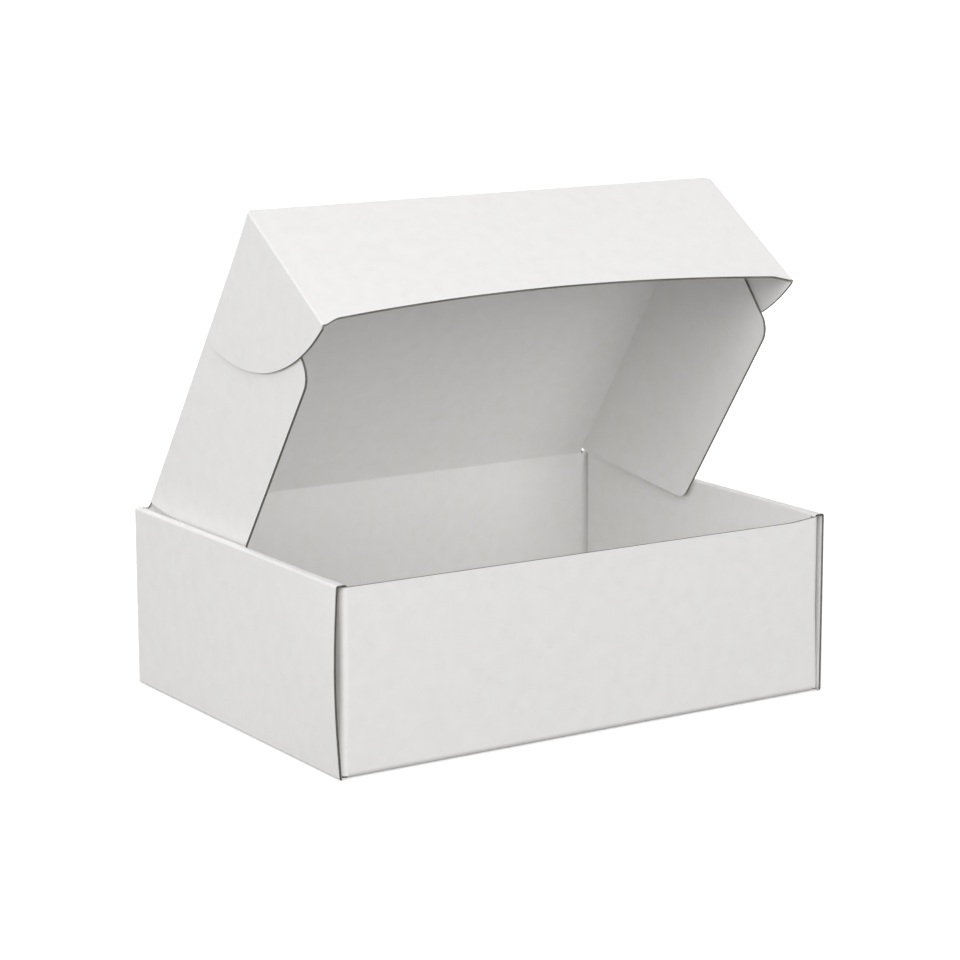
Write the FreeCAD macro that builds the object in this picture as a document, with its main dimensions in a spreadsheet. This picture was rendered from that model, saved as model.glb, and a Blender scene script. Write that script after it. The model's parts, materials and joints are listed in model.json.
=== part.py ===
# A roll-end mailer box of thin corrugated board, folded up with its lid standing half open.
# Millimetres. X runs along the box, the front wall faces -Y, and Z=0 is what the box rests on.
import FreeCAD, Part
import os
import Sketcher

# Driving dimensions. Angles are in degrees, and a fold is the turn away from the flat blank.
dimensions = {
    "insideLength": 305,
    "insideWidth": 225,
    "insideHeight": 101,
    "boardThick": 1.5,
    "layerGap": 0.15,
    "innerPanelGap": 2.2,
    "wallFoldRadius": 2.2,
    "cornerTabLength": 72,
    "cornerTabRise": 0.3,
    "lockTabWidth": 42,
    "lockTabSpacing": 118,
    "lockTabSideGap": 0.5,
    "lockTabRise": 0.2,
    "lidSideGap": 3.5,
    "lidLength": 220,
    "lidAngle": 55,
    "creaseGap": 0.3,
    "sideFlapDepth": 94,
    "sideFlapRearStart": 4,
    "sideFlapRearTaperAngle": 28,
    "sideFlapFrontStart": 6,
    "sideFlapFrontTaperAngle": 15,
    "sideFlapRearRadius": 9,
    "sideFlapFrontRadius": 12,
    "sideFlapAngle": 90,
    "frontFlapDepth": 93.5,
    "frontFlapLobeLength": 10,
    "frontFlapLobeDepth": 4.9,
    "frontFlapLobeRadius": 14,
    "frontFlapArch": 8.3,
    "frontFlapAngle": 88,
    "earReach": 88,
    "earEdgeRadius": 111,
    "earRelief": 1.5,
    "earTipRadius": 7,
    "earAngle": 90,
}

doc = FreeCAD.newDocument("mailerBox")
sheet = doc.addObject("Spreadsheet::Sheet", "Sheet")
for row, (alias, value) in enumerate(dimensions.items(), start=1):
    sheet.set("A%d" % row, alias)
    sheet.set("B%d" % row, str(value))
    sheet.setAlias("B%d" % row, alias)
doc.recompute()

# Places that several pieces share, as expressions on the sheet.
thick = "Sheet.boardThick"
gap = "Sheet.layerGap"
insideX = "(Sheet.insideLength / 2)"
wallX = f"({insideX} + 3 * {thick} + 2 * {gap})"
tabInnerX = f"({wallX} - 2 * {thick} - {gap})"
wallY = f"(Sheet.insideWidth / 2 + {thick})"
wallTop = f"(Sheet.insideHeight + {thick})"
underSpine = f"({wallTop} - {thick} - {gap})"
hingeY = f"({wallY} - {thick} / 2)"
hingeZ = f"({wallTop} - {thick} / 2)"
lidEdgeX = f"({insideX} - Sheet.lidSideGap - {thick} / 2)"
sideHingeX = f"({lidEdgeX} - {thick} / 2)"
earX = f"({lidEdgeX} + {thick} + Sheet.creaseGap)"
pastCrease = f"({thick} / 2 + Sheet.creaseGap)"
foldIn = "Sheet.wallFoldRadius"
wallFoot = f"({thick} + {foldIn})"
wallEndX = f"({tabInnerX} - {foldIn})"


def worth(expression):
    """The present value of an expression, where a sketch needs a place to start from."""
    value = sheet.evalExpression(expression)
    return float(getattr(value, "Value", value))


def bind(feature, **expressions):
    for prop, expression in expressions.items():
        feature.setExpression(prop, expression)
    return feature


def arcBetween(start, end, radius, side):
    """The short arc from start to end, its centre to the left for side 1 and right for side -1."""
    across = FreeCAD.Vector(start.y - end.y, end.x - start.x, 0).normalize() * side
    reach = (radius ** 2 - (end - start).Length ** 2 / 4) ** 0.5
    centre = (start + end) * 0.5 + across * reach
    return Part.Arc(start, centre - across * radius, end)


def drawPath(sketch, points, closed, arcs):
    """Lines through points bound to the sheet. arcs gives some spans a radius and a side."""
    spots = [FreeCAD.Vector(worth(x), worth(y), 0) for x, y in points]
    spans = len(points) if closed else len(points) - 1
    ends = []
    for i in range(spans):
        start, end = spots[i], spots[(i + 1) % len(points)]
        if i in arcs:
            radius, side = arcs[i]
            sketch.addGeometry(arcBetween(start, end, worth(radius), side))
            ends.append((1, 2) if side > 0 else (2, 1))
        else:
            sketch.addGeometry(Part.LineSegment(start, end))
            ends.append((1, 2))
    for i in range(spans if closed else spans - 1):
        after = (i + 1) % spans
        sketch.addConstraint(Sketcher.Constraint("Coincident", i, ends[i][1], after, ends[after][0]))
    for i, (x, y) in enumerate(points):
        line, end = (i, ends[i][0]) if i < spans else (i - 1, ends[i - 1][1])
        for kind, place in (("DistanceX", x), ("DistanceY", y)):
            rule = Sketcher.Constraint(kind, -1, 1, line, end, worth(place))
            sketch.setExpression(f"Constraints[{sketch.addConstraint(rule)}]", place)
    for i, (radius, side) in arcs.items():
        rule = Sketcher.Constraint("Radius", i, worth(radius))
        sketch.setExpression(f"Constraints[{sketch.addConstraint(rule)}]", radius)


def runOf(before, after):
    """The direction of a run between two path points, which is along X or Y."""
    run = [worth(b) - worth(a) for a, b in zip(before, after)]
    return [round(step / abs(sum(run))) for step in run]


def besidePath(point, run):
    """The place one board thickness to the right of a point, for a run in this direction."""
    return (f"({point[0]} + {run[1]} * {thick})", f"({point[1]} - {run[0]} * {thick})")


def alongPath(point, run, length):
    return tuple(f"({place} + {step} * {length})" for place, step in zip(point, run))


def foldedStrip(name, path, turn, away, length, back, inside=None):
    """A strip of board that is folded along a path of square turns to the left. The path is the
    liner inside the folds, square or with a radius, and the liner outside them turns on arcs."""
    runs = [runOf(a, b) for a, b in zip(path, path[1:])]
    inner = [path[0]]
    outer = [besidePath(path[0], runs[0])]
    innerArcs = {}
    outerArcs = []
    for i in range(1, len(path) - 1):
        ends = [path[i], path[i]]
        if inside:
            ends = [alongPath(path[i], runs[i - 1], f"-{inside}"), alongPath(path[i], runs[i], inside)]
            innerArcs[len(inner)] = (inside, 1)
        inner += ends if inside else ends[:1]
        outerArcs.append(len(outer))
        outer += [besidePath(ends[0], runs[i - 1]), besidePath(ends[1], runs[i])]
    inner.append(path[-1])
    outer.append(besidePath(path[-1], runs[-1]))
    last = len(inner) + len(outer) - 2
    outerRadius = f"({thick} + {inside})" if inside else thick
    arcs = dict(innerArcs)
    arcs.update({last - i: (outerRadius, -1) for i in outerArcs})
    section = doc.addObject("Sketcher::SketchObject", name + "Section")
    section.Placement.Rotation = turn
    drawPath(section, inner + outer[::-1], True, arcs)
    strip = doc.addObject("Part::Extrusion", name)
    strip.Base = section
    strip.DirMode = "Custom"
    strip.Dir = away
    strip.Solid = True
    return bind(strip, LengthFwd=length, LengthRev=back)


def block(name, x, y, z, length, width, height):
    """A box from its lowest corner, for cuts and tabs."""
    box = doc.addObject("Part::Box", name)
    box.setExpression("Placement.Base.x", x)
    box.setExpression("Placement.Base.y", y)
    box.setExpression("Placement.Base.z", z)
    return bind(box, Length=length, Width=width, Height=height)


def fuse(name, shapes):
    fusion = doc.addObject("Part::MultiFuse", name)
    fusion.Shapes = shapes
    return fusion


def cut(name, base, tools):
    result = doc.addObject("Part::Cut", name)
    result.Base = base
    result.Tool = fuse(name + "Tools", tools) if len(tools) > 1 else tools[0]
    return result


# The tray is one sheet. Its side walls roll over the corner tabs and lock into slots in the base.
upright = FreeCAD.Rotation(FreeCAD.Vector(1, 0, 0), 90)
sideways = FreeCAD.Rotation(FreeCAD.Vector(1, 1, 1), 120)
level = FreeCAD.Rotation()
alongX = FreeCAD.Vector(1, 0, 0)
alongY = FreeCAD.Vector(0, 1, 0)
alongZ = FreeCAD.Vector(0, 0, 1)

innerX = f"({insideX} + {thick})"
innerFoot = f"({thick} + {gap})"
foldX = f"({wallX} - {thick})"
foldY = f"({wallY} - {thick})"
foldZ = f"({wallTop} - {thick})"

rolledSides = foldedStrip(
    "rolledSides",
    [
        (f"-{innerX}", innerFoot), (f"-{innerX}", foldZ), (f"-{foldX}", foldZ), (f"-{foldX}", thick),
        (foldX, thick), (foldX, foldZ), (innerX, foldZ), (innerX, innerFoot),
    ],
    upright, alongY, wallY, wallY)

# The base stops short of the front and back folds, and the inner panels stop short of the walls.
trims = []
for side, end in (("front", -1), ("back", 1)):
    foldLow = f"-{wallY}" if end < 0 else f"({foldY} - {foldIn})"
    trims.append(block(
        side + "FoldTrim", f"-{foldX}", foldLow, "0", f"2 * {foldX}", f"{thick} + {foldIn}", thick))
    panelLow = f"-{wallY}" if end < 0 else f"({foldY} - Sheet.innerPanelGap)"
    for hand, panelX in (("Left", f"-{innerX}"), ("Right", insideX)):
        trims.append(block(
            side + hand + "PanelTrim", panelX, panelLow, innerFoot,
            thick, f"{thick} + Sheet.innerPanelGap", f"{foldZ} - {innerFoot}"))
trimmedSides = cut("trimmedSides", rolledSides, trims)

endWalls = foldedStrip(
    "endWalls",
    [(f"-{foldY}", underSpine), (f"-{foldY}", thick), (foldY, thick), (foldY, hingeZ)],
    sideways, alongX, wallEndX, wallEndX, foldIn)

corners = []
for side, end, top in (("front", "-", underSpine), ("back", "", hingeZ)):
    tabEnd = f"{end}({foldY} - Sheet.cornerTabLength)"
    wallFace = f"{end}{foldY}"
    hands = ("-", "") if end == "-" else ("", "-")
    wrap = foldedStrip(
        side + "Corners",
        [
            (f"{hands[0]}{tabInnerX}", tabEnd), (f"{hands[0]}{tabInnerX}", wallFace),
            (f"{hands[1]}{tabInnerX}", wallFace), (f"{hands[1]}{tabInnerX}", tabEnd),
        ],
        level, alongZ, top, f"-({thick} + Sheet.cornerTabRise)", foldIn)
    foot = block(
        side + "FootTrim", f"-{wallEndX}", f"-{wallY}", "0", f"2 * {wallEndX}", f"2 * {wallY}", wallFoot)
    corners.append(cut(side + "CornerTabs", wrap, [foot]))

hingeBead = doc.addObject("Part::Cylinder", "hingeBead")
hingeBead.Placement.Rotation = FreeCAD.Rotation(alongY, 90)
bind(hingeBead, Radius=f"{thick} / 2", Height=f"2 * {tabInnerX}")
hingeBead.setExpression("Placement.Base.x", f"-{tabInnerX}")
hingeBead.setExpression("Placement.Base.y", hingeY)
hingeBead.setExpression("Placement.Base.z", hingeZ)

# Under the rolled tops the walls and their corner tabs step down.
besideSpine = f"({insideX} - {gap})"
steps = []
for hand, stepX in (("left", f"-{wallX}"), ("right", besideSpine)):
    steps.append(block(
        hand + "Step", stepX, f"-{wallY}", underSpine,
        f"{wallX} - {besideSpine}", f"2 * {wallY}", f"2 * {thick}"))
steppedWalls = cut("steppedWalls", fuse("walls", [endWalls, hingeBead] + corners), steps)

slots = []
lockTabs = []
for row, spot in (("Front", "-1"), ("Back", "1")):
    for hand, panelX in (("left", f"-{innerX}"), ("right", insideX)):
        tabY = f"({spot} * Sheet.lockTabSpacing / 2 - Sheet.lockTabWidth / 2)"
        slots.append(block(
            hand + row + "Slot", f"{panelX} - {gap}", f"{tabY} - Sheet.lockTabSideGap", "0",
            f"{thick} + 2 * {gap}", "Sheet.lockTabWidth + 2 * Sheet.lockTabSideGap", thick))
        lockTabs.append(block(
            hand + row + "LockTab", panelX, tabY, "Sheet.lockTabRise",
            thick, "Sheet.lockTabWidth", f"{innerFoot} + {thick} - Sheet.lockTabRise"))
slottedTray = cut("slottedTray", fuse("plainTray", [trimmedSides, steppedWalls]), slots)
tray = fuse("tray", [slottedTray] + lockTabs)


# The lid and its flaps are flat pieces of the same board. Each is drawn flat in its own XY plane,
# with the crease that carries it along an axis, and then folded. The lid, the front flap and the
# ears turn about the middle of the board. The side flaps turn about its inner liner, so that they
# can fold in under the lid.
def originPlane(body, role):
    return next(f for f in body.Origin.OriginFeatures if f.Role == role)


def boardPiece(name, points, arcs, placement, sides="Symmetric"):
    body = doc.addObject("PartDesign::Body", name)
    sketch = body.newObject("Sketcher::SketchObject", name + "Outline")
    sketch.AttachmentSupport = [(originPlane(body, "XY_Plane"), "")]
    sketch.MapMode = "FlatFace"
    drawPath(sketch, points, True, arcs)
    pad = body.newObject("PartDesign::Pad", name + "Board")
    pad.Profile = sketch
    pad.SideType = sides
    bind(pad, Length=thick)
    body.setExpression("Placement", placement)
    doc.recompute()
    return body


def addBead(body, name, x, y, axis, length):
    """A rounded crease: half of it lies in the board, and half of it stands past the edge."""
    bead = body.newObject("PartDesign::AdditiveCylinder", name)
    bead.Placement.Rotation = FreeCAD.Rotation(alongZ, axis)
    bead.setExpression("Placement.Base.x", x)
    bead.setExpression("Placement.Base.y", y)
    bind(bead, Radius=f"{thick} / 2", Height=length)
    return bead


def roundCorner(body, name, x, y, radius):
    """Rounds the corner of the board that stands nearest to a place in its plane."""
    spot = FreeCAD.Vector(worth(x), worth(y), 0)
    board = body.Tip
    far = {}
    for number, edge in enumerate(board.Shape.Edges, start=1):
        middle = edge.CenterOfMass
        if abs(edge.Vertexes[-1].Point.z - edge.Vertexes[0].Point.z) > 0.9 * edge.Length:
            far[f"Edge{number}"] = (FreeCAD.Vector(middle.x, middle.y, 0) - spot).Length
    corner = body.newObject("PartDesign::Fillet", name)
    corner.Base = (board, [min(far, key=far.get)])
    bind(corner, Radius=radius)
    doc.recompute()


lidFront = f"(-Sheet.lidLength)"
lidPanel = boardPiece(
    "lidPanel",
    [
        (f"-{lidEdgeX}", f"-{pastCrease}"), (f"-{lidEdgeX}", lidFront),
        (lidEdgeX, lidFront), (lidEdgeX, f"-{pastCrease}"),
    ],
    {},
    f"placement(vector(0; {hingeY}; {hingeZ}); rotation(vector(1; 0; 0); -Sheet.lidAngle))")
for hand, sign in (("left", "-"), ("right", "")):
    addBead(lidPanel, hand + "Crease", f"{sign}{lidEdgeX}", f"-{pastCrease}", alongY * -1,
            f"Sheet.lidLength - {pastCrease}")
addBead(lidPanel, "frontCrease", f"-{lidEdgeX}", lidFront, alongX, f"2 * {lidEdgeX}")

sideRear = "(-Sheet.sideFlapRearStart)"
sideFront = "(Sheet.sideFlapFrontStart - Sheet.lidLength)"
sideDrop = "(Sheet.sideFlapDepth - Sheet.creaseGap)"
rearSlant = f"({sideDrop} * tan(Sheet.sideFlapRearTaperAngle * 1 deg))"
frontSlant = f"({sideDrop} * tan(Sheet.sideFlapFrontTaperAngle * 1 deg))"
flaps = []
for hand, sign in (("left", "-1"), ("right", "1")):
    corners = [
        (f"{sign} * Sheet.creaseGap", sideRear),
        (f"{sign} * Sheet.sideFlapDepth", f"{sideRear} - {rearSlant}"),
        (f"{sign} * Sheet.sideFlapDepth", f"{sideFront} + {frontSlant}"),
        (f"{sign} * Sheet.creaseGap", sideFront),
    ]
    flap = boardPiece(
        hand + "SideFlap", corners, {},
        f"lidPanel.Placement * placement(vector({sign} * {sideHingeX}; 0; -{thick} / 2); "
        f"rotation(vector(0; 1; 0); {sign} * Sheet.sideFlapAngle))", "One side")
    roundCorner(flap, hand + "RearRound", *corners[1], "Sheet.sideFlapRearRadius")
    roundCorner(flap, hand + "FrontRound", *corners[2], "Sheet.sideFlapFrontRadius")
    flaps.append(flap)

# The free edge of the front flap is arched, and it drops to a small lobe at each ear.
archEndX = f"({earX} - Sheet.frontFlapLobeLength)"
archEndY = "(Sheet.frontFlapLobeDepth - Sheet.frontFlapDepth)"
archRadius = f"({archEndX} ^ 2 / (2 * Sheet.frontFlapArch) + Sheet.frontFlapArch / 2)"
frontFlap = boardPiece(
    "frontFlap",
    [
        (f"-{earX}", f"-{pastCrease}"), (f"-{earX}", "(-Sheet.frontFlapDepth)"),
        (f"-{archEndX}", archEndY), (archEndX, archEndY),
        (earX, "(-Sheet.frontFlapDepth)"), (earX, f"-{pastCrease}"),
    ],
    {2: (archRadius, -1)},
    "lidPanel.Placement * placement(vector(0; -Sheet.lidLength; 0); "
    "rotation(vector(1; 0; 0); Sheet.frontFlapAngle))")
roundCorner(frontFlap, "leftLobeRound", f"-{archEndX}", archEndY, "Sheet.frontFlapLobeRadius")
roundCorner(frontFlap, "rightLobeRound", archEndX, archEndY, "Sheet.frontFlapLobeRadius")
for hand, sign in (("left", "-"), ("right", "")):
    addBead(frontFlap, hand + "EarCrease", f"{sign}{earX}", f"-{pastCrease}", alongY * -1,
            f"Sheet.frontFlapDepth - {pastCrease}")

ears = []
for hand, sign in (("left", "-1"), ("right", "1")):
    points = [
        (f"{sign} * {pastCrease}", "(-Sheet.earRelief)"),
        (f"{sign} * Sheet.earReach", "(-Sheet.earRelief)"),
        (f"{sign} * {pastCrease}", "(-Sheet.frontFlapDepth)"),
    ]
    ear = boardPiece(
        hand + "Ear", points, {1: ("Sheet.earEdgeRadius", -1 if sign == "1" else 1)},
        f"frontFlap.Placement * placement(vector({sign} * {earX}; 0; 0); "
        f"rotation(vector(0; 1; 0); {sign} * Sheet.earAngle))")
    roundCorner(ear, hand + "EarTip", *points[1], "Sheet.earTipRadius")
    ears.append(ear)

nodes = {
    "tray": tray,
    "lid_panel": lidPanel,
    "lid_side_flap_left": flaps[0],
    "lid_side_flap_right": flaps[1],
    "lid_front_flap": frontFlap,
    "lid_ear_left": ears[0],
    "lid_ear_right": ears[1],
}
doc.recompute()

for item in doc.Objects:
    if "Invalid" in item.State or "Error" in item.State:
        raise RuntimeError(f"{item.Name} did not recompute: {item.State}")

os.makedirs("parts", exist_ok=True)
for label, piece in nodes.items():
    piece.Label = label
    shape = piece.Shape
    if shape.isNull() or not shape.isValid() or len(shape.Solids) != 1:
        raise RuntimeError(f"{label} is not one sound solid")
    shape.exportStep(f"parts/{label}.step")
    print(label, len(shape.Faces), "faces", round(shape.Volume), "mm3", shape.BoundBox)
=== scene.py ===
# A white corrugated mailer box: peeled liners, fluted medium and folds of crushed board between the panels.
import json
import math

import bmesh
import bpy
from mathutils import Matrix, Vector


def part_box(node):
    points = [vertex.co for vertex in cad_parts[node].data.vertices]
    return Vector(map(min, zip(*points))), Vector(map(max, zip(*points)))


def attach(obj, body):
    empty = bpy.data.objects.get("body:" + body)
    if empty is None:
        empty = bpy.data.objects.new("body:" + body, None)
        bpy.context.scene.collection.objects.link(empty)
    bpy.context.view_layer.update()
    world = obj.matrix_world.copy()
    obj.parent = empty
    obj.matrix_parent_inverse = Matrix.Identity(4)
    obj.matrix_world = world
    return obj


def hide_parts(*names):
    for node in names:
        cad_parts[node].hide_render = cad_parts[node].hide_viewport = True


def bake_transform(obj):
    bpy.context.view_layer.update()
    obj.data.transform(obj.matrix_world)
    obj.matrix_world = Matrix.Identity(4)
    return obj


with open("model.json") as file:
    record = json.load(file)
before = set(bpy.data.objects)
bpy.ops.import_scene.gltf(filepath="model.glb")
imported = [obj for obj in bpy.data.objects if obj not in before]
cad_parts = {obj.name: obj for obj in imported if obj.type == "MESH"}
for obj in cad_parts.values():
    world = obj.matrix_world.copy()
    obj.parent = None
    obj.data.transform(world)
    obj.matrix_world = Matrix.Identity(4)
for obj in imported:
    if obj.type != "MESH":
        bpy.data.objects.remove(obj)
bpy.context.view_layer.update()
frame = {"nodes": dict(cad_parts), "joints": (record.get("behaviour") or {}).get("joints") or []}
joints = {joint["name"]: joint for joint in frame["joints"]}

# E-flute board, in metres: two liners with a wavy sheet between them.
board = {
    "thickness": 0.0015,
    "liner": 0.00028,
    "medium": 0.0002,
    "waveHeight": 0.00036,  # from the middle of the board to the middle of the wavy sheet
    "flutePitch": 0.0032,
    "samplesPerFlute": 8,
    "smoothAngle": math.radians(35),
    "weld": 2e-6,
    "slack": 0.0001,
    "sameWay": 0.999,  # cosine of two normals that count as one direction
}


def linearColour(hexCode):
    channels = [int(hexCode[i:i + 2], 16) / 255 for i in (1, 3, 5)]
    return [c / 12.92 if c <= 0.04045 else ((c + 0.055) / 1.055) ** 2.4 for c in channels] + [1.0]


def addNode(tree, kind, settings=None, links=None):
    node = tree.nodes.new(kind)
    for name, value in (settings or {}).items():
        if isinstance(name, int) or name in node.inputs.keys():
            node.inputs[name].default_value = value
        else:
            setattr(node, name, value)
    for name, source in (links or {}).items():
        tree.links.new(source, node.inputs[name])
    return node


def newMaterial(name):
    material = bpy.data.materials.new(name)
    material.use_nodes = True
    material.node_tree.nodes.clear()
    return material, material.node_tree


# Bleached liner paper, calendered but not coated. To the eye it is an even matt white, slightly warm
# and cloudy where the pulp lies thicker, with a few grey fibres, and the flutes just show through it.
liner = {
    "white": "#F7F6F5",
    "thinPulp": "#F4F3F1",
    "fibreGrey": "#D3D0C9",
    "cloudSize": 0.008,
    "cloudEdges": (0.35, 0.75),
    "fibreSize": 0.0026,  # the real fibres are a tenth as wide, too fine to show
    "fibreWidth": 0.016,
    "fibreShare": 0.35,
    "tangleSize": 0.0065,
    "tangleEdges": (0.55, 0.7),
    "toothSize": 0.0007,
    "toothDepth": 0.000003,
    "washboardDepth": 0.000006,
    "roughness": (0.68, 0.8),
    "ior": 1.5,
    "specularLevel": 0.3,
}
whiteLiner, tree = newMaterial("bleachedLinerPaper")
spot = addNode(tree, "ShaderNodeTexCoord").outputs["Object"]
clouds = addNode(tree, "ShaderNodeTexNoise", {
    "Scale": 1 / liner["cloudSize"], "Detail": 4.0}, {"Vector": spot})
cloudy = addNode(tree, "ShaderNodeMapRange", {
    "From Min": liner["cloudEdges"][0], "From Max": liner["cloudEdges"][1]}, {"Value": clouds.outputs[0]})
strands = addNode(tree, "ShaderNodeTexNoise", {
    "Scale": 1 / liner["fibreSize"], "Detail": 1.0, "Distortion": 2.0}, {"Vector": spot})
offLine = addNode(tree, "ShaderNodeMath", {"operation": "SUBTRACT", 1: 0.5}, {0: strands.outputs[0]})
offLine = addNode(tree, "ShaderNodeMath", {"operation": "ABSOLUTE"}, {0: offLine.outputs[0]})
onLine = addNode(tree, "ShaderNodeMapRange", {
    "From Max": liner["fibreWidth"], "To Min": liner["fibreShare"], "To Max": 0.0,
}, {"Value": offLine.outputs[0]})
tangles = addNode(tree, "ShaderNodeTexNoise", {
    "Scale": 1 / liner["tangleSize"], "Detail": 0.0}, {"Vector": spot})
tangled = addNode(tree, "ShaderNodeMapRange", {
    "From Min": liner["tangleEdges"][0], "From Max": liner["tangleEdges"][1]}, {"Value": tangles.outputs[0]})
fibres = addNode(tree, "ShaderNodeMath", {"operation": "MULTIPLY"}, {
    0: onLine.outputs[0], 1: tangled.outputs[0]})
pulp = addNode(tree, "ShaderNodeMix", {
    "data_type": "RGBA", 6: linearColour(liner["white"]), 7: linearColour(liner["thinPulp"]),
}, {"Factor": cloudy.outputs[0]})
sheetColour = addNode(tree, "ShaderNodeMix", {
    "data_type": "RGBA", 7: linearColour(liner["fibreGrey"]),
}, {"Factor": fibres.outputs[0], 6: pulp.outputs[2]})
tooth = addNode(tree, "ShaderNodeTexNoise", {
    "Scale": 1 / liner["toothSize"], "Detail": 2.0}, {"Vector": spot})
toothHeight = addNode(tree, "ShaderNodeMath", {
    "operation": "MULTIPLY", 1: liner["toothDepth"]}, {0: tooth.outputs[0]})
across = addNode(tree, "ShaderNodeAttribute", {"attribute_name": "acrossFlutes"})
phase = addNode(tree, "ShaderNodeMath", {
    "operation": "MULTIPLY", 1: 2 * math.pi / board["flutePitch"]}, {0: across.outputs["Fac"]})
ripple = addNode(tree, "ShaderNodeMath", {"operation": "SINE"}, {0: phase.outputs[0]})
height = addNode(tree, "ShaderNodeMath", {
    "operation": "MULTIPLY_ADD", 1: liner["washboardDepth"] / 2,
}, {0: ripple.outputs[0], 2: toothHeight.outputs[0]})
relief = addNode(tree, "ShaderNodeBump", {"Distance": 1.0}, {"Height": height.outputs[0]})
matt = addNode(tree, "ShaderNodeMapRange", {
    "To Min": liner["roughness"][0], "To Max": liner["roughness"][1]}, {"Value": clouds.outputs[0]})
shader = addNode(tree, "ShaderNodeBsdfPrincipled", {
    "IOR": liner["ior"], "Specular IOR Level": liner["specularLevel"],
}, {"Base Color": sheetColour.outputs[2], "Roughness": matt.outputs[0], "Normal": relief.outputs[0]})
addNode(tree, "ShaderNodeOutputMaterial", {}, {"Surface": shader.outputs[0]})

# Fluting paper and inner plies of waste pulp, cut by a die. To the eye the cut is a fuzzy brownish
# grey line, flecked with darker and paler fibres, and quite without gloss.
core = {
    "grey": "#A19D96",
    "fleck": "#7E7A73",
    "fleckSize": 0.0006,
    "fleckEdges": (0.4, 0.75),
    "fuzzSize": 0.0002,
    "fuzzDepth": 0.00002,
    "roughness": 0.95,
    "specularLevel": 0.2,
}
greyCore, tree = newMaterial("recycledFlutingPaper")
spot = addNode(tree, "ShaderNodeTexCoord").outputs["Object"]
flecks = addNode(tree, "ShaderNodeTexNoise", {
    "Scale": 1 / core["fleckSize"], "Detail": 3.0}, {"Vector": spot})
flecked = addNode(tree, "ShaderNodeMapRange", {
    "From Min": core["fleckEdges"][0], "From Max": core["fleckEdges"][1]}, {"Value": flecks.outputs[0]})
cutColour = addNode(tree, "ShaderNodeMix", {
    "data_type": "RGBA", 6: linearColour(core["grey"]), 7: linearColour(core["fleck"]),
}, {"Factor": flecked.outputs[0]})
fuzz = addNode(tree, "ShaderNodeTexNoise", {"Scale": 1 / core["fuzzSize"], "Detail": 1.0}, {"Vector": spot})
relief = addNode(tree, "ShaderNodeBump", {"Distance": core["fuzzDepth"]}, {"Height": fuzz.outputs[0]})
shader = addNode(tree, "ShaderNodeBsdfPrincipled", {
    "Roughness": core["roughness"], "Specular IOR Level": core["specularLevel"],
}, {"Base Color": cutColour.outputs[2], "Normal": relief.outputs[0]})
addNode(tree, "ShaderNodeOutputMaterial", {}, {"Surface": shader.outputs[0]})
finishes = [whiteLiner, greyCore]
print("materials made")


# Faces whose number is in grey take the core's paper. across gives each vertex's place across the flutes.
def addPiece(name, vertices, faces, grey=(), across=()):
    mesh = bpy.data.meshes.new(name)
    mesh.from_pydata([tuple(v) for v in vertices], [], faces)
    for finish in finishes:
        mesh.materials.append(finish)
    grey = set(grey)
    for number, face in enumerate(mesh.polygons):
        face.material_index = 1 if number in grey else 0
    if across:
        mesh.attributes.new("acrossFlutes", "FLOAT", "POINT").data.foreach_set("value", across)
    mesh.update()
    piece = bpy.data.objects.new(name, mesh)
    bpy.context.scene.collection.objects.link(piece)
    return piece


# Edges sharper than the board's smooth angle stay crisp.
def smoothByAngle(mesh):
    work = bmesh.new()
    work.from_mesh(mesh)
    for face in work.faces:
        face.smooth = True
    for edge in work.edges:
        edge.smooth = len(edge.link_faces) == 2 and edge.calc_face_angle(0) < board["smoothAngle"]
    work.to_mesh(mesh)
    work.free()


def weighNormals(piece):
    modifier = piece.modifiers.new("flatStaysFlat", "WEIGHTED_NORMAL")
    modifier.keep_sharp = True
    modifier.weight = 100  # the largest face decides


# A flat panel's own axes: along its crease, reach away from it, and out to the side seen when it is shut.
class Panel:
    def __init__(self, origin, along, reach, out):
        self.origin, self.along = Vector(origin), Vector(along)
        self.reach, self.out = Vector(reach), Vector(out)

    def place(self, a, r, height):
        return self.origin + self.along * a + self.reach * r + self.out * height

    def flatten(self, point):
        return ((point - self.origin).dot(self.along), (point - self.origin).dot(self.reach))


# The outline of a node's outer liner, as (along, reach) pairs.
def outlineOf(node, panel):
    work = bmesh.new()
    work.from_mesh(frame["nodes"][node].data)
    bmesh.ops.remove_doubles(work, verts=work.verts, dist=board["weld"])
    steps = {}
    for face in work.faces:
        if face.normal.dot(panel.out) > board["sameWay"]:
            for loop in face.loops:
                steps[loop.vert.index, loop.link_loop_next.vert.index] = True
    after = {a: b for a, b in steps if (b, a) not in steps}
    work.verts.ensure_lookup_table()
    start = spot = min(after)
    outline = []
    while True:
        outline.append(panel.flatten(work.verts[spot].co))
        spot = after[spot]
        if spot == start:
            break
    work.free()
    return outline


# The part of an outline whose coordinate is above the limit (side 1) or below it (side -1).
def clip(outline, axis, limit, side):
    kept = []
    for p, q in zip(outline, outline[1:] + outline[:1]):
        a, b = (p[axis] - limit) * side, (q[axis] - limit) * side
        if a >= 0:
            kept.append(p)
        if (a > 0 > b) or (a < 0 < b):
            share = a / (a - b)
            kept.append(tuple(x + (y - x) * share for x, y in zip(p, q)))
    return kept


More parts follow.
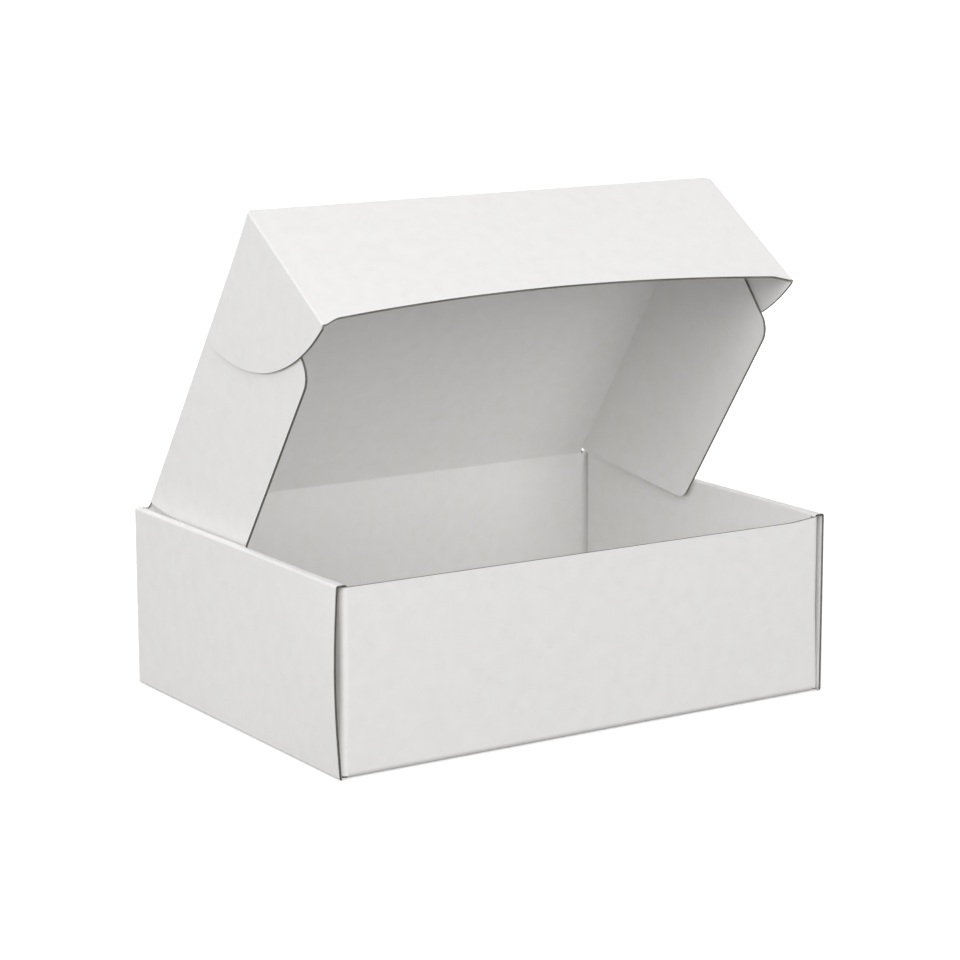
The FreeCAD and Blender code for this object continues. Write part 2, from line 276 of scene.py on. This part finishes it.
# Both liners of a panel, as closed thin sheets, with the numbers of their grey faces.
def linerSheets(panel, outline, middle):
    half, thin = board["thickness"] / 2, board["liner"]
    vertices, faces, grey = [], [], []
    sheets = (
        (middle + half, middle + half - thin, True),
        (middle - half + thin, middle - half, False),
    )
    for top, bottom, outFirst in sheets:
        base, count = len(vertices), len(outline)
        for height in (top, bottom):
            vertices += [panel.place(a, r, height) for a, r in outline]
        if not outFirst:
            grey.append(len(faces))
        faces.append([base + i for i in range(count)])
        if outFirst:
            grey.append(len(faces))
        faces.append([base + count + i for i in reversed(range(count))])
        for i in range(count):
            j = (i + 1) % count
            grey.append(len(faces))
            faces.append([base + i, base + count + i, base + count + j, base + j])
    return vertices, faces, grey


# Where a line at this level crosses an outline's edges, sorted along the other axis.
def crossings(edges, axis, level):
    found = []
    for p, q in edges:
        if (p[axis] - level) * (q[axis] - level) < 0:
            share = (level - p[axis]) / (q[axis] - p[axis])
            found.append(p[1 - axis] + (q[1 - axis] - p[1 - axis]) * share)
    return sorted(found)


# The wavy sheet of a panel, trimmed to its outline. Its flutes run along axis 0 (along) or 1 (reach).
def flutedSheet(panel, edges, middle, flutesAlong, vertices, faces):
    across = 1 - flutesAlong
    low, high = min(p[across] for p, q in edges), max(p[across] for p, q in edges)
    step = board["flutePitch"] / board["samplesPerFlute"]
    thin = board["medium"] / 2
    previous = None
    for number in range(int((high - low) / step)):
        level = low + (number + 0.5) * step
        spans = crossings(edges, across, level)
        wave = middle + board["waveHeight"] * math.sin(2 * math.pi * number / board["samplesPerFlute"])
        base = len(vertices)
        for end in spans:
            a, r = (end, level) if flutesAlong == 0 else (level, end)
            vertices += [panel.place(a, r, wave + thin), panel.place(a, r, wave - thin)]
        if previous is not None and previous[1] == len(spans):
            for pair in range(len(spans) // 2):
                o, n = previous[0] + 4 * pair, base + 4 * pair
                faces += [[o, o + 2, n + 2, n], [o + 1, n + 1, n + 3, o + 3]]
                faces += [[o, n, n + 1, o + 1], [o + 2, o + 3, n + 3, n + 2]]
        previous = (base, len(spans))
    return vertices, faces


# A panel of board on its body: liners in place of the frame's node, and the wavy sheet between them.
def addPanel(name, body, node, panel, outline, middle, flutesAlong):
    area = sum(p[0] * q[1] - q[0] * p[1] for p, q in zip(outline, outline[1:] + outline[:1]))
    if area * panel.along.cross(panel.reach).dot(panel.out) < 0:
        outline = outline[::-1]
    vertices, faces, grey = linerSheets(panel, outline, middle)
    liners = addPiece(name + "Liners", vertices, faces, grey, [p[1 - flutesAlong] for p in outline] * 4)
    smoothByAngle(liners.data)
    weighNormals(liners)
    edges = list(zip(outline, outline[1:] + outline[:1]))
    vertices, faces = flutedSheet(panel, edges, middle, flutesAlong, [], [])
    medium = addPiece(name + "Medium", vertices, faces, range(len(faces)))
    smoothByAngle(medium.data)
    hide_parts(node)
    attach(liners, body)
    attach(medium, body)


# The folds are crushed board: one band bends from panel to panel, and no flutes are left in it.
# Those of the ears are pressed sharper.
fold = {
    "margin": 0.0022,
    "outerSoftness": 0.0013,
    "innerSoftness": 0.0005,
    "samples": 20,
    "atCrease": 0.0012,  # points of an outline nearer than this to the crease lie on it
    "onLine": 1e-6,
}
earFold = dict(fold, margin=0.0018, outerSoftness=0.0008, innerSoftness=0.0004)


# Points along one liner through a fold: straight, round the apex, and straight again.
def foldLine(apex, before, after, softness, span, samples):
    p0, p1 = apex - before * softness, apex + after * softness
    start, end = span
    rounds = samples - 4
    bend = []
    for i in range(rounds):
        t = i / (rounds - 1)
        bend.append(p0 * (1 - t) ** 2 + apex * 2 * t * (1 - t) + p1 * t * t)
    return [start, start.lerp(p0, 0.5)] + bend + [p1.lerp(end, 0.5), end]


# parent and child are (reach, out) pairs, the parent's reach towards the crease and the child's away.
# The ends are cut board, or white where the outer liner is pressed over them.
def addFold(name, parent, child, crease, outerHeights, ranges, sizes=fold, cutEnds=True):
    origin, along = crease
    (pReach, pOut), (cReach, cOut) = parent, child
    margin, count = sizes["margin"], sizes["samples"]
    cosine, sine = pReach.dot(cReach), -pOut.dot(cReach)
    lines = []
    for drop, softness in ((0, sizes["outerSoftness"]), (board["thickness"], sizes["innerSoftness"])):
        q, c = outerHeights[0] - drop, outerHeights[1] - drop
        apex = origin + pReach * ((c - q * cosine) / sine) + pOut * q
        start = origin - pReach * margin + pOut * q
        end = origin + cReach * margin + cOut * c
        lines.append(foldLine(apex, pReach, cReach, softness, (start, end), count))
    vertices, faces, grey = [], [], []
    for side in (0, 1):
        for line in lines:
            for i, point in enumerate(line):
                t = i / (count - 1)
                vertices.append(point + along * (ranges[0][side] * (1 - t) + ranges[1][side] * t))
    o0, i0, o1, i1 = 0, count, 2 * count, 3 * count
    for i in range(count - 1):
        faces.append([o0 + i, o0 + i + 1, o1 + i + 1, o1 + i])
        faces.append([i0 + i, i1 + i, i1 + i + 1, i0 + i + 1])
        if cutEnds:
            grey += [len(faces), len(faces) + 1]
        faces.append([o0 + i, i0 + i, i0 + i + 1, o0 + i + 1])
        faces.append([o1 + i, o1 + i + 1, i1 + i + 1, i1 + i])
    for i in (0, count - 1):
        grey.append(len(faces))
        ring = [o0 + i, o1 + i, i1 + i, i0 + i]
        faces.append(ring if i == 0 else ring[::-1])
    band = addPiece(name, vertices, faces, grey)
    work = bmesh.new()
    work.from_mesh(band.data)
    bmesh.ops.recalc_face_normals(work, faces=work.faces)
    work.to_mesh(band.data)
    work.free()
    smoothByAngle(band.data)
    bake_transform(band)


half = board["thickness"] / 2
margin, earMargin = fold["margin"], earFold["margin"]
boxAcross = Vector((1, 0, 0))
hinge = Vector(joints["lid_hinge"]["pos_m"])
lidFront = Vector(joints["front_flap_fold"]["pos_m"])
lidLength = (lidFront - hinge).length
lidReach = (lidFront - hinge).normalized()
lidOut = lidReach.cross(boxAcross)
flapReach = Vector(joints["ear_right_fold"]["axis"]).normalized()
flapOut = flapReach.cross(boxAcross)
sideX = joints["side_flap_right_fold"]["pos_m"][0]
earX = joints["ear_right_fold"]["pos_m"][0]

frontPanel = Panel(lidFront, boxAcross, flapReach, flapOut)
frontOutline = outlineOf("lid_front_flap", frontPanel)
frontEdges = list(zip(frontOutline, frontOutline[1:] + frontOutline[:1]))

# Side flaps and ears. Their outlines come from the frame, and stop at the folds. Both sides are alike.
sideCreases = {}
for hand, sign in (("left", -1), ("right", 1)):
    outward = Vector((sign, 0, 0))
    sidePanel = Panel(joints[f"side_flap_{hand}_fold"]["pos_m"], lidReach, -lidOut, outward)
    whole = outlineOf(f"lid_side_flap_{hand}", sidePanel)
    kept = clip(whole, 1, margin, 1)
    addPanel(f"sideFlap_{hand}", f"side_flap_{hand}", f"lid_side_flap_{hand}", sidePanel, kept, half, 1)
    atFold = [p[0] for p in kept if abs(p[1] - margin) < fold["onLine"]]
    atCrease = [p[0] for p in whole if p[1] < fold["atCrease"]]
    sideCreases[hand] = (min(atCrease), max(atCrease))
    addFold(
        f"sideFold_{hand}",
        (outward, lidOut), (-lidOut, outward),
        (sidePanel.origin, lidReach), (board["thickness"], board["thickness"]),
        ((min(atCrease), max(atCrease)), (min(atFold), max(atFold))))

    earPanel = Panel(joints[f"ear_{hand}_fold"]["pos_m"], flapReach, -flapOut, outward)
    whole = outlineOf(f"lid_ear_{hand}", earPanel)
    kept = clip(whole, 1, earMargin, 1)
    addPanel(f"ear_{hand}", f"ear_{hand}", f"lid_ear_{hand}", earPanel, kept, 0, 1)
    atFold = [p[0] for p in kept if abs(p[1] - earMargin) < fold["onLine"]]
    atCrease = [p[0] for p in whole if p[1] < fold["atCrease"]]
    lobeEnd = max(crossings(frontEdges, 0, sign * (earX - earMargin)))
    lobeEnd -= (earPanel.origin - lidFront).dot(flapReach)
    addFold(
        f"earFold_{hand}",
        (outward, flapOut), (-flapOut, outward),
        (earPanel.origin, flapReach), (half, half),
        ((min(atCrease), lobeEnd), (min(atFold), max(atFold))), earFold)
print("side flaps and ears made")

# The lid panel and its front flap.
lidPanel = Panel(hinge, boxAcross, lidReach, lidOut)
edge, inset = sideX + half, sideX - margin
wallEdge = edge + board["thickness"]  # the hinge fold is a little wider on the tray's side
low, high = sideCreases["right"]
lidOutline = [
    (-edge, margin), (-edge, low), (-inset, low), (-inset, high), (-edge, high), (-edge, lidLength - margin),
    (edge, lidLength - margin), (edge, high), (inset, high), (inset, low), (edge, low), (edge, margin),
]
addPanel("lid", "lid", "lid_panel", lidPanel, lidOutline, 0, 0)
addFold(
    "lidFold", (Vector((0, 0, 1)), Vector((0, 1, 0))), (lidReach, lidOut),
    (hinge, boxAcross), (half, half), ((-wallEdge, wallEdge), (-edge, edge)))

flapOutline = clip(frontOutline, 1, margin, 1)
flapOutline = clip(flapOutline, 0, earX - earMargin, -1)
flapOutline = clip(flapOutline, 0, earMargin - earX, 1)
addPanel("frontFlap", "front_flap", "lid_front_flap", frontPanel, flapOutline, 0, 0)
addFold(
    "frontFold", (lidReach, lidOut), (flapReach, flapOut),
    (lidFront, boxAcross), (half, half), ((-edge, edge), (-edge, edge)), cutEnds=False)
print("lid and front flap made")

# The tray: the frame's own surface without its cut edges, thickened inwards into liners.
tray = {
    "narrowestFace": 0.0016,  # narrower ones are the board's cut edges
    "leastPanel": 0.0002,  # square metres
    "longestTab": 0.09,
    "flatAngle": math.radians(0.5),
    "backDepth": 0.004,
    "aboveBase": 0.003,
    "hingeDepth": 0.001,
}
trayLow, trayHigh = (Vector(corner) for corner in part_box("tray"))


# Groups of faces that meet one another at less than this angle.
def floodFaces(faces, joined):
    seen, groups = set(), []
    for first in faces:
        if first in seen:
            continue
        group, queue = [], [first]
        seen.add(first)
        while queue:
            face = queue.pop()
            group.append(face)
            for side in face.edges:
                if len(side.link_faces) == 2 and side.calc_face_angle(math.pi) < joined:
                    for other in side.link_faces:
                        if other not in seen:
                            seen.add(other)
                            queue.append(other)
        groups.append(group)
    return groups


# The edges round a group of faces.
def rimOf(group):
    members = set(group)
    return [e for f in group for e in f.edges if sum(o in members for o in e.link_faces) == 1]


# Pressed board never folds quite square. The left wall's outer panel bulges at mid height, the front
# corner tabs stand off the outer panels above their feet, and the front wall's top dips to the right.
settle = {
    "bow": 0.0023,
    "bowAtTop": 0.3,  # of the bow
    "bowReach": 0.1,  # back from the front wall
    "standOff": {-1: 0.0011, 1: 0.0016},
    "standHeight": 0.055,
    "standStart": 0.006,
    "standReach": 0.02,
    "cutsBehindFront": (0.006, 0.01, 0.014, 0.018, 0.022, 0.026, 0.036, 0.048, 0.06, 0.075, 0.09),
    "cutsUp": 12,
    "dip": 0.0014,
    "dipFrom": -0.152,
    "dipTo": 0.135,
    "dipEnd": 0.15,
}


# A smooth step from 0 to 1.
def eased(share):
    share = min(1, max(0, share))
    return share * share * (3 - 2 * share)


# Cuts these faces along each plane, so that they can bend there.
def cutFaces(work, faces, planes):
    for point, normal in planes:
        geometry = set(faces)
        for face in faces:
            geometry.update(face.edges)
            geometry.update(face.verts)
        result = bmesh.ops.bisect_plane(work, geom=list(geometry), plane_co=point, plane_no=normal)
        faces = [g for g in result["geom"] if isinstance(g, bmesh.types.BMFace)]
    return faces


def settleWalls(work):
    outerInside = trayHigh.x - board["thickness"] - board["slack"]
    spine = trayHigh.z - board["thickness"] - board["slack"]
    roll = 2 * board["thickness"] + board["slack"]
    rolled = outerInside - roll - board["thickness"]
    bowEnd = trayLow.y + settle["bowReach"]
    nearFront = [
        f for f in work.faces
        if abs(f.calc_center_median().x) > rolled and min(v.co.y for v in f.verts) < bowEnd
    ]
    planes = [((0, trayLow.y + behind, 0), (0, 1, 0)) for behind in settle["cutsBehindFront"]]
    planes += [((0, 0, trayHigh.z * n / settle["cutsUp"]), (0, 0, 1)) for n in range(1, settle["cutsUp"])]
    cutFaces(work, nearFront, planes)
    front = [f for f in work.faces if f.calc_center_median().y < trayLow.y + 2 * board["thickness"]]
    cutFaces(work, front, [((settle["dipTo"], 0, 0), (1, 0, 0))])
    for vertex in work.verts:
        x, y, z = vertex.co
        side = 1 if x > 0 else -1
        depth, behind = outerInside - abs(x), y - trayLow.y
        if side < 0 and (depth < 0 or z > spine):
            bulge = math.sin(math.pi * min(1, z / trayHigh.z)) + settle["bowAtTop"] * z / trayHigh.z
            outward = settle["bow"] * min(1, max(0, 1 - depth / roll)) * bulge
            vertex.co.x -= outward * eased(1 - behind / settle["bowReach"])
        if 0 <= depth < roll + board["thickness"]:
            inward = settle["standOff"][side] * (min(1, depth / roll) if z > spine else 1)
            near = eased(1 - (behind - settle["standStart"]) / settle["standReach"])
            vertex.co.x -= side * inward * near * eased(z / settle["standHeight"])
        if behind < 2 * board["thickness"] and settle["dipFrom"] < x < settle["dipEnd"]:
            along = min(
                (x - settle["dipFrom"]) / (settle["dipTo"] - settle["dipFrom"]),
                (settle["dipEnd"] - x) / (settle["dipEnd"] - settle["dipTo"]))
            vertex.co.z -= settle["dip"] * along * z / spine


work = bmesh.new()
work.from_mesh(frame["nodes"]["tray"].data)
bmesh.ops.remove_doubles(work, verts=work.verts, dist=board["weld"])

# Every flat face whose twin lies one board thickness behind it gets a wavy sheet between the two.
panels = []
for group in floodFaces(work.faces, tray["flatAngle"]):
    area = sum(f.calc_area() for f in group)
    if area > tray["leastPanel"]:
        panels.append((group[0].normal.copy(), group[0].verts[0].co.copy(), area, group))
vertices, faces = [], []
for number, (normal, point, area, group) in enumerate(panels):
    twins = [
        n for n, (otherNormal, otherPoint, otherArea, others) in enumerate(panels)
        if otherNormal.dot(normal) < -board["sameWay"]
        and abs((point - otherPoint).dot(normal) - board["thickness"]) < board["slack"]
        and (otherArea, n) > (area, number)
    ]
    spots = [v.co for f in group for v in f.verts]
    isWall = max(v.y for v in spots) - min(v.y for v in spots) > tray["longestTab"]
    along = Vector((1, 0, 0))
    if abs(normal.x) > board["sameWay"]:  # upright flutes in the rolled walls, level ones in the corner tabs
        along = Vector((0, 0, 1)) if isWall else Vector((0, 1, 0))
    if twins:
        panel = Panel(point, along, normal.cross(along), normal)
        edges = [tuple(panel.flatten(v.co) for v in e.verts) for e in rimOf(group)]
        flutedSheet(panel, edges, -half, 0, vertices, faces)
print("tray panels", len(panels))
trayMedium = addPiece("trayMedium", vertices, faces, range(len(faces)))
wave = bmesh.new()
wave.from_mesh(trayMedium.data)
settleWalls(wave)
wave.to_mesh(trayMedium.data)
wave.free()
smoothByAngle(trayMedium.data)
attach(trayMedium, "tray")

# The back wall ends where the lid's fold begins.
backFaces = [
    f for f in work.faces
    if f.calc_center_median().y > hinge.y - tray["backDepth"] and f.calc_center_median().z > tray["aboveBase"]
]
cutFaces(work, backFaces, [
    ((0, 0, hinge.z - margin), (0, 0, 1)), ((-wallEdge, 0, 0), (1, 0, 0)), ((wallEdge, 0, 0), (1, 0, 0))])
aboveFold = [
    f for f in work.faces
    if f.calc_center_median().z > hinge.z - margin and abs(f.calc_center_median().x) < wallEdge
    and f.calc_center_median().y > hinge.y - tray["hingeDepth"]
]
bmesh.ops.delete(work, geom=aboveFold, context="FACES")

# The die's cut edges go, and what is left of the surface is the outside of every liner.
cutEdges = []
for group in floodFaces(work.faces, board["smoothAngle"]):
    rim = sum(e.calc_length() for e in rimOf(group))
    if sum(f.calc_area() for f in group) / (rim / 2) < tray["narrowestFace"]:
        cutEdges += group
bmesh.ops.delete(work, geom=cutEdges, context="FACES")
settleWalls(work)
mesh = bpy.data.meshes.new("trayLiners")
work.to_mesh(mesh)
work.free()
for finish in finishes:
    mesh.materials.append(finish)
skin = bpy.data.objects.new("traySkin", mesh)
bpy.context.scene.collection.objects.link(skin)
thicken = skin.modifiers.new("liner", "SOLIDIFY")
thicken.thickness = board["liner"]
thicken.offset = -1
thicken.use_even_offset = True
thicken.material_offset = 1
thicken.material_offset_rim = 1
bpy.context.view_layer.update()
solid = bpy.data.meshes.new_from_object(skin.evaluated_get(bpy.context.evaluated_depsgraph_get()))
bpy.data.objects.remove(skin)
acrossTray = []
for face in solid.polygons:
    upDown = abs(face.normal.y) > max(abs(face.normal.x), abs(face.normal.z))
    acrossTray += [solid.vertices[v].co.z if upDown else solid.vertices[v].co.y for v in face.vertices]
solid.attributes.new("acrossFlutes", "FLOAT", "CORNER").data.foreach_set("value", acrossTray)
trayLiners = bpy.data.objects.new("trayLiners", solid)
bpy.context.scene.collection.objects.link(trayLiners)
smoothByAngle(trayLiners.data)
weighNormals(trayLiners)
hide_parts("tray")
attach(trayLiners, "tray")
print("tray liners made", len(solid.polygons))

# The photograph's viewpoint: metres and degrees, and the lens and sensor in millimetres.
camera = {
    "lens": 112.88,
    "sensor": 36,
    "place": (-0.89480, -1.39475, 0.45765),
    "yaw": 32.736,
    "pitch": 11.521,
    "roll": -0.189,
}
yaw, pitch, roll = (math.radians(camera[k]) for k in ("yaw", "pitch", "roll"))
ahead = Vector((math.sin(yaw) * math.cos(pitch), math.cos(yaw) * math.cos(pitch), -math.sin(pitch)))
right = Vector((math.cos(yaw), -math.sin(yaw), 0))
up = right.cross(ahead)
rolledRight = right * math.cos(roll) + up * math.sin(roll)
rolledUp = up * math.cos(roll) - right * math.sin(roll)
lens = bpy.data.cameras.new("camera")
lens.lens = camera["lens"]
lens.sensor_width = camera["sensor"]
viewer = bpy.data.objects.new("camera", lens)
bpy.context.scene.collection.objects.link(viewer)
viewer.matrix_world = Matrix((rolledRight, rolledUp, -ahead)).transposed().to_4x4()
viewer.location = camera["place"]
bpy.context.scene.camera = viewer

# Plain soft studio light. Watts of each lamp, its place, and the side of its square.
studio = {
    "worldLight": 0.34,
    "aim": (0, 0, 0.12),
    "lamps": {
        "frontLeft": (18, (-1.4, -1.8, 1.6), 1.6),
        "front": (20, (0.3, -2.4, 0.9), 1.4),
        "left": (22, (-2.4, -0.4, 0.9), 1.4),
        "behind": (20, (0, 1.8, 1.9), 1.6),
        "right": (9, (2.4, 0.3, 1.1), 1.6),
    },
}


# One for the camera's rays and for those of gloss and glass, which see the same white background.
def raysThatSee(tree):
    path = addNode(tree, "ShaderNodeLightPath")
    seen = addNode(tree, "ShaderNodeMath", {"operation": "ADD"}, {
        0: path.outputs["Is Camera Ray"], 1: path.outputs["Is Glossy Ray"]})
    seen = addNode(tree, "ShaderNodeMath", {"operation": "ADD", "use_clamp": True}, {
        0: seen.outputs[0], 1: path.outputs["Is Transmission Ray"]})
    return seen.outputs[0]


world = bpy.data.worlds.new("studio")
bpy.context.scene.world = world
world.use_nodes = True
tree = world.node_tree
tree.nodes.clear()
seen = raysThatSee(tree)
lit = addNode(tree, "ShaderNodeBackground", {"Color": (1, 1, 1, 1), "Strength": studio["worldLight"]})
shown = addNode(tree, "ShaderNodeBackground", {"Color": (1, 1, 1, 1), "Strength": 1.0})
mixed = addNode(tree, "ShaderNodeMixShader", {}, {0: seen, 1: lit.outputs[0], 2: shown.outputs[0]})
addNode(tree, "ShaderNodeOutputWorld", {}, {"Surface": mixed.outputs[0]})
bpy.context.scene.view_settings.view_transform = "Standard"
for name, (watts, place, size) in studio["lamps"].items():
    lamp = bpy.data.lights.new(name, "AREA")
    lamp.energy = watts
    lamp.size = size
    softbox = bpy.data.objects.new(name, lamp)
    bpy.context.scene.collection.objects.link(softbox)
    softbox.location = place
    softbox.rotation_euler = (Vector(studio["aim"]) - Vector(place)).to_track_quat("-Z", "Y").to_euler()

# Matt white backdrop paper. It glows white only where it is seen, fully so away from the object,
# and keeps the object's soft shadow. Its light on the object is that of a duller sheet.
backdrop = {
    "white": "#E6E6E6",
    "asLit": "#A0A0A0",
    "glowNear": 0.45,
    "glowFar": 1.0,
    "near": 0.3,
    "far": 0.75,
    "halfSide": 12,
    "drop": 0.0002,  # clear of the box's own underside
}
floorPaper, tree = newMaterial("paleFloor")
spot = addNode(tree, "ShaderNodeTexCoord").outputs["Object"]
away = addNode(tree, "ShaderNodeVectorMath", {"operation": "LENGTH"}, {0: spot})
glowing = addNode(tree, "ShaderNodeMapRange", {
    "interpolation_type": "SMOOTHSTEP", "From Min": backdrop["near"], "From Max": backdrop["far"],
    "To Min": backdrop["glowNear"], "To Max": backdrop["glowFar"],
}, {"Value": away.outputs["Value"]})
matt = addNode(tree, "ShaderNodeBsdfDiffuse", {"Color": linearColour(backdrop["white"])})
dull = addNode(tree, "ShaderNodeBsdfDiffuse", {"Color": linearColour(backdrop["asLit"])})
glow = addNode(tree, "ShaderNodeEmission", {"Color": (1, 1, 1, 1)}, {"Strength": glowing.outputs[0]})
both = addNode(tree, "ShaderNodeAddShader", {}, {0: matt.outputs[0], 1: glow.outputs[0]})
mixed = addNode(tree, "ShaderNodeMixShader", {}, {
    0: raysThatSee(tree), 1: dull.outputs[0], 2: both.outputs[0]})
addNode(tree, "ShaderNodeOutputMaterial", {}, {"Surface": mixed.outputs[0]})
floorMesh = bpy.data.meshes.new("floor")
side = backdrop["halfSide"]
floorCorners = [(-side, -side, 0), (side, -side, 0), (side, side, 0), (-side, side, 0)]
floorMesh.from_pydata(floorCorners, [], [[0, 1, 2, 3]])
floorMesh.materials.append(floorPaper)
floor = bpy.data.objects.new("floor", floorMesh)
floor.location.z = -backdrop["drop"]
bpy.context.scene.collection.objects.link(floor)
print("studio made")
